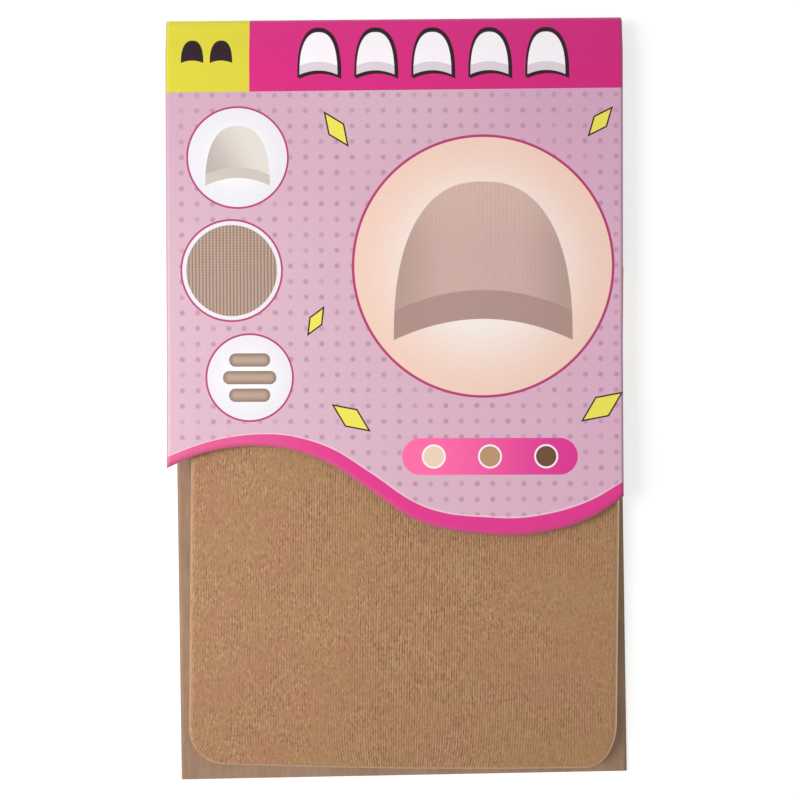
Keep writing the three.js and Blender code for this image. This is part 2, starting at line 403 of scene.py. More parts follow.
def makePrintMaterial():
    material, tree, shader = startMaterial("printedCoating", 0.42, specular=0.28)
    spot, bar, cap, spark = makeSpotGroup(), makeBarGroup(), makeCapGroup(), makeSparkGroup()
    place = attribute(tree, "blank", "Vector")
    across, down, borderShare = split(tree, place)
    flat = vectorCalc(tree, "MULTIPLY", place, (1.0, 1.0, 0.0))
    ink, white = design["ink"], design["white"]

    # dotted ground
    fromMiddle = calc(tree, "ABSOLUTE", across)
    towardsRight = fade(tree, minus(tree, across, times(tree, down, 0.35)), -70.0, 55.0)
    paint = layOver(tree, design["groundLeft"], design["groundRight"], towardsRight)
    paint = layOver(tree, paint, design["groundTop"], fade(tree, down, 75.0, 20.0, 0.0, 0.3))
    topMiddle = times(tree, fade(tree, fromMiddle, 45.0, 5.0),
                      fade(tree, down, 60.0, 25.0, 0.0, 0.8))
    paint = layOver(tree, paint, design["groundLeft"], topMiddle)
    start = (*design["dotStart"], 0.0)
    pitch = design["dotPitch"]
    cell = vectorCalc(tree, "SUBTRACT", flat, start)
    cell = vectorCalc(tree, "DIVIDE", cell, (pitch, pitch, 1.0))
    cell = vectorCalc(tree, "FRACTION", vectorCalc(tree, "ADD", cell, (100.5, 100.5, 0.0)))
    cell = vectorCalc(tree, "SUBTRACT", cell, (0.5, 0.5, 0.0))
    cell = vectorCalc(tree, "MULTIPLY", cell, (pitch, pitch, 0.0))
    outside = minus(tree, vectorCalc(tree, "LENGTH", cell), design["dotRadius"])
    dot = within(tree, outside, design["dotSoftness"])
    dot = times(tree, dot, within(tree, minus(tree, fromMiddle, design["dotMargin"]), 0.05))
    worn = fade(tree, noise(tree, flat, 0.16, 2.0), 0.3, 0.62, 0.45, 0.95)
    paint = layOver(tree, paint, design["dot"], times(tree, dot, worn))

    # small spots in a column, each with a figure of its own
    for k, (u, q, size) in enumerate(design["spots"]):
        disc = useGroup(tree, spot, Place=flat, Centre=(u, q, 0.0), Radius=size, Ring=0.55)
        glow = fade(tree, disc["Distance"], -size, 0.0)
        filling = layOver(tree, *design["spotGround"], glow)
        if k == 0:
            figure = useGroup(tree, cap, Place=flat, Foot=(u, q + 8.0, 0.0), Size=(9.2, 17.0, 2.2),
                              Band=3.0)
            lit = fade(tree, plus(tree, figure["Across"], figure["Crown"]), -0.6, 1.2)
            shaded, litSide, band = design["smallCap"]
            shade = layOver(tree, layOver(tree, shaded, litSide, lit), band, figure["Band"])
            filling = layOver(tree, filling, shade, figure["Inside"])
        if k == 1:
            # the knit, drawn large
            enlarged = vectorCalc(tree, "MULTIPLY", flat, (0.28, 0.28, 0.0))
            rows = times(tree, ripple(tree, enlarged, "Y", 1.5), 0.45)
            weave = times(tree, ripple(tree, enlarged, "X", 1.15), plus(tree, 0.55, rows))
            shade = layOver(tree, *design["enlargedKnit"], weave)
            filling = layOver(tree, filling, shade, fade(tree, disc["Distance"], -1.6, -1.75))
        if k == 2:
            for lift in (-5.0, 0.0, 5.0):
                fold = useGroup(tree, bar, Place=flat, Centre=(u, q + lift, 0.0),
                                Half=(7.6 - abs(lift) * 0.35, 1.9, 0.0), Corner=1.8)
                shade = fade(tree, fold["Distance"], -1.8, 0.0)
                shade = layOver(tree, *design["foldedCaps"], shade)
                filling = layOver(tree, filling, shade, fold["Inside"])
        filling = layOver(tree, filling, design["ring"], disc["Rim"])
        paint = layOver(tree, paint, filling, disc["Inside"])

    # large spot with a plain cap
    u, q, size = design["bigSpot"]
    disc = useGroup(tree, spot, Place=flat, Centre=(u, q, 0.0), Radius=size, Ring=0.75)
    glow = fade(tree, disc["Distance"], -0.75 * size, 0.0)
    filling = layOver(tree, *design["bigSpotGround"], glow)
    figure = useGroup(tree, cap, Place=flat, Foot=(u, q + 21.0, 0.0), Size=(25.5, 45.0, 6.0),
                      Band=8.2)
    middle, sides, top, band, strands = design["bigCap"]
    beside = calc(tree, "ABSOLUTE", figure["Across"])
    shade = layOver(tree, middle, sides, fade(tree, beside, 0.35, 1.0))
    shade = layOver(tree, shade, top, fade(tree, figure["Crown"], 0.55, 1.0, 0.0, 0.6))
    shade = layOver(tree, shade, band, times(tree, figure["Band"], 0.85))
    shade = layOver(tree, shade, strands, times(tree, ripple(tree, flat, "X", 0.28), 0.12))
    filling = layOver(tree, filling, shade, figure["Inside"])
    filling = layOver(tree, filling, design["ring"], disc["Rim"])
    paint = layOver(tree, paint, filling, disc["Inside"])

    # pill with swatches
    pill = design["pill"]
    label = useGroup(tree, bar, Place=flat, Centre=(*pill["centre"], 0.0),
                     Half=(*pill["half"], 0.0), Corner=pill["half"][1])
    fill = layOver(tree, *design["pillColours"], fade(tree, across, 5.0, 52.0))
    paint = layOver(tree, paint, fill, label["Inside"])
    swatches = design["swatches"]
    for k, tone in enumerate(swatches["tones"]):
        centre = (swatches["first"] + k * swatches["pitch"], pill["centre"][1], 0.0)
        chip = useGroup(tree, spot, Place=flat, Centre=centre, Radius=3.4, Ring=0.5)
        paint = layOver(tree, paint, layOver(tree, tone, white, chip["Rim"]), chip["Inside"])

    for u, q, halfWidth, halfLength, turn in design["sparks"]:
        mark = useGroup(tree, spark, Place=flat, Centre=(u, q, 0.0),
                        Half=(halfWidth, halfLength, 1.0), Turn=float(turn), Outline=0.42)
        paint = layOver(tree, paint, ink, mark["Outlined"])
        paint = layOver(tree, paint, design["spark"], mark["Inside"])

    # header band with its block, and the row of figures in it
    header = layOver(tree, design["headerTop"], design["headerLow"], fade(tree, down, 1.0, 17.0))
    header = layOver(tree, header, design["headerRight"], fade(tree, across, 5.0, 62.0, 0.0, 0.35))
    leftDepth, rightDepth = design["headerDepth"]
    slope = (rightDepth - leftDepth) / card["width"]
    depth = plus(tree, (leftDepth + rightDepth) / 2, times(tree, across, slope))
    inHeader = within(tree, minus(tree, down, depth))
    paint = layOver(tree, paint, header, inHeader)
    inBlock = within(tree, minus(tree, across, design["blockEdge"]))
    paint = layOver(tree, paint, design["block"], times(tree, inBlock, inHeader))
    row = design["figures"]
    for k in range(row["count"]):
        foot = (row["first"] + k * row["pitch"], row["foot"], 0.0)
        shadowFoot = (foot[0] + 0.5, foot[1] + 0.35, 0.0)
        figure, shadow = [
            useGroup(tree, cap, Place=flat, Foot=point, Size=row["size"], Band=2.5, Outline=0.6)
            for point in (foot, shadowFoot)]
        dark = calc(tree, "MAXIMUM", figure["Outlined"], shadow["Outlined"])
        paint = layOver(tree, paint, ink, dark)
        front = layOver(tree, white, design["figureBand"], figure["Band"])
        paint = layOver(tree, paint, front, figure["Inside"])
    marks = design["countMarks"]
    for u in marks["places"]:
        figure = useGroup(tree, cap, Place=flat, Foot=(u, marks["foot"], 0.0), Size=marks["size"],
                          Band=1.6)
        paint = layOver(tree, paint, ink, figure["Inside"])

    # wavy border and the pale line over it
    paint = layOver(tree, paint, design["borderLine"],
                    fade(tree, borderShare, 1.14, 1.06, 0.0, 0.6))
    towardsRight = fade(tree, across, -62.0, -8.0)
    border = layOver(tree, design["borderLeft"], design["borderRight"], towardsRight)
    paint = layOver(tree, paint, border, fade(tree, borderShare, 1.02, 0.98))

    # a thin darker line of ink along the flap's cut sides and along its wavy edge
    side = card["width"] / 2
    paint = layOver(tree, paint, design["edge"],
                    fade(tree, fromMiddle, side - 0.6, side - 0.2, 0.0, 0.5))
    paint = layOver(tree, paint, design["borderEdge"],
                    fade(tree, borderShare, 0.3, 0.02, 0.0, 0.6))

    # the rear is plain, with the header's colour brought round the fold
    rear = layOver(tree, design["rear"], design["headerTop"],
                   fade(tree, down, design["rearWrap"] - 0.08, design["rearWrap"] + 0.08))
    paint = layOver(tree, paint, rear, fade(tree, down, -0.4, -0.6))

    # faint mottle of the ink
    mottle = fade(tree, noise(tree, flat, 1.4, 3.0), 0.3, 0.7, 0.965, 1.0)
    feed(tree, shader.inputs["Base Color"], scaled(tree, paint, mottle))
    feed(tree, shader.inputs["Roughness"],
         fade(tree, noise(tree, flat, 0.35, 3.0), 0.3, 0.7, 0.36, 0.48))
    addBump(tree, shader, noise(tree, flat, 0.09, 2.0), 0.25, 0.5)
    return material


# The folded display card
card = {
    "width": 130,
    "height": 219.25,
    "lowerSkew": 0.29,  # degrees
    "board": 0.5,
    "foldRadius": 2.5,
    "foldSkew": 0.34,  # degrees
    "flapShift": 0.25,
    "flapDrop": 148.11,
    "flapLift": 1.8,
    "flapTaper": 0.45,
    "riseLength": 12,
    "riseShare": 0.77,
    "cornerRadius": 0.25,
    "columns": 131,
    "panelRows": 24,
    "foldRows": 20,
    "riseRows": 16,
    "flapRows": 70,
}
bendLength = math.pi * card["foldRadius"]
bendReach = card["foldRadius"] + card["board"] / 2
bendStart = card["height"] / 2 - bendReach

# lower edge of the flap, as shares of the card's width and of the flap's drop
waveEdge = [(0, 0.8667), (0.055, 0.846), (0.12, 0.8314), (0.19, 0.8262), (0.27, 0.8338),
            (0.36, 0.8627), (0.45, 0.9152), (0.53, 0.9632), (0.61, 0.9876), (0.7, 0.9981),
            (0.78, 1), (0.87, 0.9872), (0.94, 0.9637), (1, 0.9277)]

# height of the printed border over that edge, by the place across the card
borderHeights = [(-65, 3.1), (-58, 2.8), (-44, 3.1), (-28, 4.0), (-12, 4.8), (0, 5.0),
                 (12, 4.5), (26, 4.8), (38, 4.9), (52, 5.1), (60, 4.8), (65, 4.2)]

# The flat stack under the flap: the insert and the caps stretched on it
stack = {
    "insertWidth": 120.6,
    "insertThickness": 1,
    "insertBow": 0.7,
    "tilt": 1.4,  # degrees, clockwise
    "shift": -0.46,
    "cornerLeft": (9.1, 9.1),
    "cornerRight": (7.6, 11.6),
    "toeMargin": 3.35,
    "wall": 0.4,
    "outerOutset": 1.4,
    "capLength": 145,
    "innerShorter": 4,  # the inner cap's mouth lies this far inside the outer one's
    "hemHeight": 25,
    "hemThickening": 0.25,
    "clearance": 0.3,
}
bodyThickness = stack["insertThickness"] + 2 * stack["outerOutset"]
mouthThickness = bodyThickness + 4 * stack["hemThickening"]
hemStart = stack["capLength"] - stack["hemHeight"] - stack["outerOutset"]
mouthUp = stack["capLength"] - stack["outerOutset"]
stackSlope = math.atan2(2 * stack["hemThickening"], hemStart)
toeUp = -card["height"] / 2 + stack["toeMargin"]
stackOrigin = Vector((stack["shift"], toeUp + stack["outerOutset"],
                      card["board"] + stack["clearance"] + bodyThickness / 2))


def smoothCurve(points, samples=24):
    # points joined by a curve that passes through each of them
    points = np.array(points, float)
    padded = np.vstack([points[:1], points, points[-1:]])
    joined = []
    for k in range(len(points) - 1):
        p0, p1, p2, p3 = padded[k:k + 4]
        for t in np.arange(samples) / samples:
            bend = (2 * p0 - 5 * p1 + 4 * p2 - p3) * t ** 2 + (3 * p1 - p0 - 3 * p2 + p3) * t ** 3
            joined.append(0.5 * (2 * p1 + (p2 - p0) * t + bend))
    joined.append(points[-1])
    return np.array(joined)


def flapHeight(distance):
    # height of the middle of the flap's board, by the distance from the outside of the fold
    overStack = stack["clearance"] + card["board"] / 2
    cosTilt = math.cos(math.radians(stack["tilt"]))
    reach = card["height"] / 2 - stackOrigin.y

    def topAt(up, thickness):
        return stackOrigin.z + up * math.tan(stackSlope) + thickness / 2 + overStack

    foldTop = card["board"] / 2 + 2 * card["foldRadius"]
    mouthTop = topAt(mouthUp, mouthThickness)
    stations = [bendReach, card["riseLength"], reach - mouthUp * cosTilt,
                reach - hemStart * cosTilt, card["flapDrop"]]
    heights = [foldTop, foldTop + card["riseShare"] * (mouthTop - foldTop), mouthTop,
               topAt(hemStart, mouthThickness),
               topAt((reach - card["flapDrop"]) / cosTilt, bodyThickness) + card["flapLift"]]
    height = np.interp(distance, stations, heights)
    share = np.clip((distance - stations[0]) / (stations[1] - stations[0]), 0, 1)
    eased = heights[0] + (heights[1] - heights[0]) * share ** 2 * (3 - 2 * share)
    return np.where(distance < stations[1], eased, height)


def bendCard(across, along):
    # place and inner normal of a point of the flat card, once it is folded
    radius = card["foldRadius"]
    skew = math.radians(card["foldSkew"])
    alongFold = np.array([math.cos(skew), -math.sin(skew)])
    outOfFold = np.array([math.sin(skew), math.cos(skew)])
    flatPlace = np.stack([across, along - across * math.tan(skew)], -1)
    sideways = flatPlace @ alongFold
    onward = flatPlace @ outOfFold
    turn = np.clip(onward / radius, 0, math.pi)
    back = onward - bendLength
    out = np.where(onward <= 0, onward, np.where(back < 0, radius * np.sin(turn), -back))
    rise = card["board"] / 2 + radius * (1 - np.cos(turn))
    height = np.where(back < 0, rise, flapHeight(back + bendReach))
    slope = (flapHeight(back + bendReach + 0.01) - flapHeight(back + bendReach)) / 0.01
    lean = np.where(back < 0, turn, math.pi - np.arctan(slope))
    shift = np.clip(onward / bendLength, 0, 1)
    sideways = sideways + card["flapShift"] * shift ** 2 * (3 - 2 * shift)
    narrowing = card["flapTaper"] / (card["width"] / 2) * np.clip(back / card["flapDrop"], 0, 1)
    sideways = sideways * (1 - narrowing)
    flat = sideways[..., None] * alongFold + out[..., None] * outOfFold
    place = np.dstack([flat[..., 0], flat[..., 1] + bendStart, height])
    normal = np.dstack([-np.sin(lean) * outOfFold[0], -np.sin(lean) * outOfFold[1], np.cos(lean)])
    return place, normal


def buildObject(name, places, faces, attributes):
    mesh = bpy.data.meshes.new(name)
    mesh.from_pydata((np.asarray(places) * mm).tolist(), [], faces)
    for label, values in attributes.items():
        values = np.asarray(values, np.float32)
        kind, field = ("FLOAT", "value") if values.ndim == 1 else ("FLOAT_VECTOR", "vector")
        mesh.attributes.new(label, kind, "POINT").data.foreach_set(field, values.ravel())
    mesh.polygons.foreach_set("use_smooth", [True] * len(mesh.polygons))
    mesh.update()
    obj = bpy.data.objects.new(name, mesh)
    bpy.context.scene.collection.objects.link(obj)
    return obj


def gridFaces(rows, columns, first=0, flip=False):
    i, j = np.meshgrid(np.arange(rows - 1), np.arange(columns - 1), indexing="ij")
    a = first + (i * columns + j).ravel()
    quads = np.stack([a, a + 1, a + columns + 1, a + columns], -1)
    return (quads[:, ::-1] if flip else quads).tolist()


def makeDisplayCard(printed, plainFace, cutEdge):
    half = card["width"] / 2
    skewRise = math.tan(math.radians(card["foldSkew"]))
    columns = np.linspace(-half, half, card["columns"])
    wave = smoothCurve(waveEdge)
    flapEnd = np.interp(columns, (wave[:, 0] - 0.5) * card["width"], wave[:, 1] * card["flapDrop"])
    borders = smoothCurve(borderHeights)
    borderHeight = np.interp(columns, borders[:, 0], borders[:, 1])

    lowerRise = skewRise + math.tan(math.radians(card["lowerSkew"]))
    bottom = -card["height"] / 2 - bendStart + columns * lowerRise
    corner = card["cornerRadius"]
    steps = corner * (1 - np.cos(np.linspace(0, math.pi / 2, 6)))
    rows, widths = [], []
    for step in steps:
        rows.append(bottom + step)
        widths.append(half - corner + math.sqrt(max(corner ** 2 - (corner - step) ** 2, 0)))
    riseEnd = bendLength + card["riseLength"] - bendReach
    levels = (bottom + corner, 0, bendLength, riseEnd, bendLength + flapEnd - bendReach)
    counts = [card[label] for label in ("panelRows", "foldRows", "riseRows", "flapRows")]
    for start, end, count in zip(levels, levels[1:], counts):
        for share in np.linspace(0, 1, count)[1:]:
            rows.append(np.zeros_like(columns) + start + share * (end - start))
            widths.append(half)
    along = np.array(rows)
    across = np.clip(np.broadcast_to(columns, along.shape), -np.array(widths)[:, None],
                     np.array(widths)[:, None])

    place, normal = bendCard(across, along)
    down = along - (bendLength - bendReach) - across * skewRise
    overEdge = flapEnd - (along - bendLength + bendReach)
    farAbove = 9
    borderShare = np.where(along > riseEnd, overEdge / borderHeight, farAbove)
    blank = np.dstack([across, down, borderShare]).reshape(-1, 3)
    inner = (place + normal * card["board"] / 2).reshape(-1, 3)
    outer = (place - normal * card["board"] / 2).reshape(-1, 3)
    rowCount, columnCount = along.shape
    under = rowCount * columnCount
    faces = gridFaces(rowCount, columnCount)
    innerCount = len(faces)
    faces += gridFaces(rowCount, columnCount, under, flip=True)
    printedCount = len(faces)
    rim = ([i * columnCount for i in range(rowCount)][::-1] + list(range(1, columnCount))
           + [i * columnCount + columnCount - 1 for i in range(1, rowCount)]
           + [(rowCount - 1) * columnCount + j for j in range(columnCount - 2, -1, -1)])
    for a, b in zip(rim, rim[1:] + rim[:1]):
        if a != b:
            faces.append((a, a + under, b + under, b))
    obj = buildObject("folded_card", np.vstack([inner, outer]), faces,
                      {"blank": np.vstack([blank, blank])})
    for material in (plainFace, printed, cutEdge):
        obj.data.materials.append(material)
    slots = np.zeros(len(faces), int)
    slots[innerCount:printedCount] = 1
    slots[printedCount:] = 2
    obj.data.polygons.foreach_set("material_index", slots)
    obj.data.polygons.foreach_set("use_smooth", slots != 2)
    obj.data.update()
    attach(obj, "root")
    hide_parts("display_card")
    print("display card:", len(obj.data.polygons), "faces")


# Knitted sleeves, stretched flat on the insert
knit = {
    "wale": 0.75,  # from rib to rib
    "course": 0.55,  # from loop to loop along a rib
    "samples": 3,  # columns of the mesh for each rib on the shown side
    "shownUp": 98,  # the shown side has fine rows up to here
    "rowStep": 0.65,
    "coarseStep": 2.2,  # across, where the knit doesn't show
    "coarseRow": 3.0,  # and along it
    "edgeWrap": 0.4,
    "ribHeight": 0.045,
    "sideRibs": 0.4,  # share of that height near the sides
    "sideFade": (15, 50),  # the height fades to that share between these
    "rimFade": 0.8,  # and to nothing this near the rim
    # within this of the outline the knit is painted paler: partly real, where it is stretched thin
    # over the insert's edge, and partly painted sheen where it turns over that edge
    "rimThinAndSheenWidth": 1.5,
    "sideBand": 4,  # its sides have a rim of their own within this
    # strength of that paler rim on the left, at the toe and on the right; the right one is
    # strongest, as painted sheen on the side turned away from the lamp
    "leftThinAndSheen": 0.5,
    "toeThinAndSheen": 1.25,
    "rightThinAndSheen": 2.2,
    "toeDraw": 1.4,  # the ribs draw in towards the middle by this at the toe
    "toeReach": 5,
    "toeGrowth": 14,  # from nothing in the middle to the whole of it here
    "toeEnd": (52, 8),  # and to nothing again here, over this width
    "cornerFans": (0.36, 0.18),  # the ribs fan out in its left and its right corner
    "fanStart": 46,
    "fanReach": 6.5,
    "seed": 3.7,
}


def toeLine(x, outset, side):
    # height of the sleeve's lower edge across it
    corner = stack["insertBow"] - outset
    (leftAcross, leftUp), (rightAcross, rightUp) = stack["cornerLeft"], stack["cornerRight"]
    leftAcross, leftUp = leftAcross + outset, leftUp + outset
    rightAcross, rightUp = rightAcross + outset, rightUp + outset
    leftStart, rightStart = leftAcross - side, side - rightAcross
    share = np.clip((x - leftStart) / (rightStart - leftStart), 0, 1)
    height = corner - 4 * stack["insertBow"] * share * (1 - share)
    past = np.clip((leftStart - x) / leftAcross, 0, 1)
    height = np.where(x < leftStart, corner + leftUp * (1 - np.sqrt(1 - past ** 2)), height)
    past = np.clip((x - rightStart) / rightAcross, 0, 1)
    return np.where(x > rightStart, corner + rightUp * (1 - np.sqrt(1 - past ** 2)), height)


def edgeDistance(x, y, outset, side):
    # how far inside the sleeve's outline a point lies
    distance = np.minimum(side - np.abs(x), y - toeLine(x, outset, side))
    corner = stack["insertBow"] - outset
    for sign, (acrossSize, upSize) in ((-1, stack["cornerLeft"]), (1, stack["cornerRight"])):
        a, b = acrossSize + outset, upSize + outset
        dx = (sign * x - (side - a)) / a
        dy = (corner + b - y) / b
        full = np.sqrt(dx ** 2 + dy ** 2) + 1e-9
        slope = np.sqrt((dx / a) ** 2 + (dy / b) ** 2) / full
        inCorner = (dx > 0) & (dy > 0)
        distance = np.where(inCorner, (1 - full) / slope, distance)
    return np.maximum(distance, 0)


def joinChains(chainA, shareA, chainB, shareB):
    # triangles between two rows of points with different counts
    faces, i, j = [], 0, 0
    while i < len(chainA) - 1 or j < len(chainB) - 1:
        nextA = shareA[i + 1] if i < len(chainA) - 1 else math.inf
        nextB = shareB[j + 1] if j < len(chainB) - 1 else math.inf
        if nextA <= nextB:
            faces.append((chainA[i], chainB[j], chainA[i + 1]))
            i += 1
        else:
            faces.append((chainA[i], chainB[j], chainB[j + 1]))
            j += 1
    return faces


def sleevePanel(outset, rise, top, columnsAt, rowsAt, sign):
    # one side of a sleeve's skin: sign 1 looks up, -1 looks down
    side = stack["insertWidth"] / 2 + outset
    radius = knit["edgeWrap"] + outset
    half = stack["insertThickness"] / 2 + outset
    x = np.broadcast_to(columnsAt, (len(rowsAt), len(columnsAt)))
    low = toeLine(x, outset, side)
    lowest = -outset
    y = low + (np.array(rowsAt)[:, None] - lowest) * (top - low) / (top - lowest)
    distance = edgeDistance(x, y, outset, side)
    share = np.clip(distance / radius, 0, 1)
    z = half - radius + radius * np.sqrt(1 - (1 - share) ** 2)
    band = np.clip((y - hemStart + 0.4) / 0.8, 0, 1)
    band = rise * band ** 2 * (3 - 2 * band)
    z = (z + band * share) * sign
    places = np.dstack([x * (1 + band / side), y, z])
    return places, distance


def edgedSteps(start, end, radius, step, count=6):
    # even steps, with finer ones over the round edge at the start
    edge = start + radius * (1 - np.cos(np.linspace(0, math.pi / 2, count)))
    rest = np.linspace(edge[-1], end, max(int(round((end - edge[-1]) / step)), 1) + 1)[1:]
    return np.concatenate([edge, rest])


def sleeveSkin(outset, rise, top, fineColumns, fineRows, first, outward):
    # both sides of one face of the sleeve, joined along its sides and toe
    side = stack["insertWidth"] / 2 + outset
    radius = knit["edgeWrap"] + outset
    coarse = knit["coarseStep"]
    places, faces, chains, ends, edges = [], [], [], [], []
    index = first
    for sign in (1, -1):
        columnStep = fineColumns if sign > 0 else coarse
        leftHalf = edgedSteps(-side, 0, radius, columnStep)
        columnsAt = np.concatenate([leftHalf, -leftHalf[-2::-1]])
        if sign > 0 and fineRows < coarse:
            lower = edgedSteps(-outset, knit["shownUp"], radius, fineRows)
            upperCount = int((top - lower[-1]) / knit["coarseRow"]) + 1
            rowsAt = np.concatenate([lower, np.linspace(lower[-1], top, upperCount)[1:]])
        else:
            rowsAt = edgedSteps(-outset, top, radius, knit["coarseRow"])
        panel, distance = sleevePanel(outset, rise, top, columnsAt, rowsAt, sign)
        rowCount, columnCount = distance.shape
        faces += gridFaces(rowCount, columnCount, index, flip=(sign > 0) != outward)
        at = index + np.arange(rowCount * columnCount).reshape(rowCount, columnCount)
        chain = np.concatenate([at[::-1, 0], at[0, 1:], at[1:, -1]])
        flatPlaces = panel.reshape(-1, 3)
        run = flatPlaces[chain - index][:, :2]
        lengths = np.concatenate([[0], np.cumsum(np.linalg.norm(np.diff(run, axis=0), axis=1))])
        chains.append((chain.tolist(), (lengths / lengths[-1]).tolist()))
        ends.append((at[-1].tolist(), ((columnsAt + side) / (2 * side)).tolist()))
        places.append(flatPlaces)
        edges.append(np.where(sign > 0, distance.ravel(), 0))
        index += rowCount * columnCount
    seam = joinChains(*chains[0], *chains[1])
    faces += seam if outward else [face[::-1] for face in seam]
    return np.vstack(places), faces, ends, np.concatenate(edges), index


def makeSleeve(name, inside, insideRise, outside, outsideRise, top, fine):
    columnStep = knit["wale"] / knit["samples"] if fine else knit["coarseStep"]
    rowStep = knit["rowStep"] if fine else knit["coarseRow"]
    outerPlaces, outerFaces, outerEnds, outerEdge, count = sleeveSkin(
        outside, outsideRise, top, columnStep, rowStep, 0, True)
    innerPlaces, innerFaces, innerEnds, innerEdge, _ = sleeveSkin(
        inside, insideRise, top, knit["coarseStep"], knit["coarseRow"], count, False)
    faces = outerFaces + innerFaces
    for k, (outerEnd, innerEnd) in enumerate(zip(outerEnds, innerEnds)):
        rim = joinChains(*outerEnd, *innerEnd)
        faces += [face[::-1] for face in rim] if k == 0 else rim
    # the rim's two short ends, where the upper and the lower side meet
    for k in (0, -1):
        quad = [outerEnds[0][0][k], outerEnds[1][0][k], innerEnds[1][0][k], innerEnds[0][0][k]]
        faces.append(quad[::-1] if k == 0 else quad)

    places = np.vstack([outerPlaces, innerPlaces])
    edge = np.concatenate([outerEdge, innerEdge])
    x, y = places[:, 0], places[:, 1]
    beside = np.abs(x)
    toeEnd, toeFade = knit["toeEnd"]
    drawnIn = (knit["toeDraw"] * np.clip(beside / knit["toeGrowth"], 0, 1)
               * np.clip((toeEnd - beside) / toeFade, 0, 1)
               * np.exp(-np.maximum(y, 0) / knit["toeReach"]))
    fan = (np.where(x < 0, *knit["cornerFans"]) * np.maximum(beside - knit["fanStart"], 0)
           * np.exp(-(np.maximum(y, 0) / knit["fanReach"]) ** 2))
    wale = (x + np.sign(x) * (drawnIn - fan)) / knit["wale"]
    shown = np.concatenate([np.ones(len(outerPlaces)), np.zeros(len(innerPlaces))])
    relief = shown * np.clip(edge / knit["rimFade"], 0, 1) * (places[:, 2] > 0)
    relief = relief * np.interp(beside, knit["sideFade"], [1, knit["sideRibs"]])
    # paler rim along the outline: partly thin stretched knit, partly painted sheen
    rimThinAndSheen = np.clip(1 - edge / knit["rimThinAndSheenWidth"], 0, 1) * shown
    besideToe = stack["insertWidth"] / 2 - knit["sideBand"]
    rimThinAndSheen = rimThinAndSheen * np.select([x < -besideToe, x > besideToe],
                                    [knit["leftThinAndSheen"], knit["rightThinAndSheen"]], knit["toeThinAndSheen"])

    turn = (Matrix.Rotation(-math.radians(stack["tilt"]), 4, "Z")
            @ Matrix.Rotation(stackSlope, 4, "X"))
    turned = places @ np.array(turn.to_3x3()).T + np.array(stackOrigin)
    return buildObject(name, turned, faces, {
        "wale": wale, "course": y / knit["course"], "relief": relief, "rim": rimThinAndSheen})


# Raises the ribs of the knit along the surface's normals
def makeReliefTree():
    tree = bpy.data.node_groups.new("knitRelief", "GeometryNodeTree")
    for label, kind in (("Geometry", "Geometry"), ("Rib Height", "Float"), ("Seed", "Float"),
                        ("Material", "Material")):
        tree.interface.new_socket(label, in_out="INPUT", socket_type="NodeSocket" + kind)
    tree.interface.new_socket("Geometry", in_out="OUTPUT", socket_type="NodeSocketGeometry")
    given = tree.nodes.new("NodeGroupInput").outputs
    result = tree.nodes.new("NodeGroupOutput").inputs

    def named(label):
        node = newNode(tree, "GeometryNodeInputNamedAttribute", data_type="FLOAT")
        node.inputs["Name"].default_value = label
        return node.outputs["Attribute"]

    wale, course, relief = named("wale"), named("course"), named("relief")
    rib = calc(tree, "COSINE", times(tree, wale, 2 * math.pi))
    place = newNode(tree, "ShaderNodeCombineXYZ")
    feed(tree, place.inputs[0], times(tree, calc(tree, "FLOOR", wale), 7.31))
    feed(tree, place.inputs[1], times(tree, course, 0.4))
    feed(tree, place.inputs[2], given["Seed"])
    broken = fade(tree, noise(tree, place.outputs[0], 1.0, 1.0), 0.3, 0.7, 0.15, 1.0)
    reach = times(tree, relief, times(tree, given["Rib Height"], 0.5))
    height = times(tree, times(tree, rib, broken), reach)
    offset = scaled(tree, tree.nodes.new("GeometryNodeInputNormal").outputs[0], height)
    moved = tree.nodes.new("GeometryNodeSetPosition")
    feed(tree, moved.inputs["Geometry"], given["Geometry"])
    feed(tree, moved.inputs["Offset"], offset)
    realized = tree.nodes.new("GeometryNodeRealizeInstances")
    feed(tree, realized.inputs["Geometry"], moved.outputs["Geometry"])
    painted = tree.nodes.new("GeometryNodeSetMaterial")
    feed(tree, painted.inputs["Geometry"], realized.outputs["Geometry"])
    feed(tree, painted.inputs["Material"], given["Material"])
    feed(tree, result["Geometry"], painted.outputs["Geometry"])
    return tree


def raiseRibs(obj, tree, material, seed):
    values = {"Rib Height": knit["ribHeight"] * mm, "Seed": seed, "Material": material}
    modifier = obj.modifiers.new("knitRelief", "NODES")
    modifier.node_group = tree
    for item in tree.interface.items_tree:
        if item.in_out == "INPUT" and item.name in values:
            modifier[item.identifier] = values[item.name]
    bpy.context.view_layer.update()
    graph = bpy.context.evaluated_depsgraph_get()
    mesh = bpy.data.meshes.new_from_object(obj.evaluated_get(graph), preserve_all_data_layers=True,
                                           depsgraph=graph)
    obj.modifiers.remove(modifier)
    obj.data = mesh
    mesh.name = obj.name


yarn = {
    "thread": "a67d56",
    "warm": "a77a58",
    "gap": "6d462b",
    "lit": "d4aa84",
    # rim and edge: paler knit along the outline, partly knit stretched thin and partly painted
    # sheen
    "rim": "b08e6f",
    "edge": "f0caa0",
    "ribShare": 0.18,  # darkness between plain ribs
    "fleckShare": 0.68,  # where a short fleck lies
    "streakShare": 0.3,  # and where a long one does
    "glintShare": 0.54,
    "wander": 1.2,  # how far the ribs stray where the knit is uneven
}


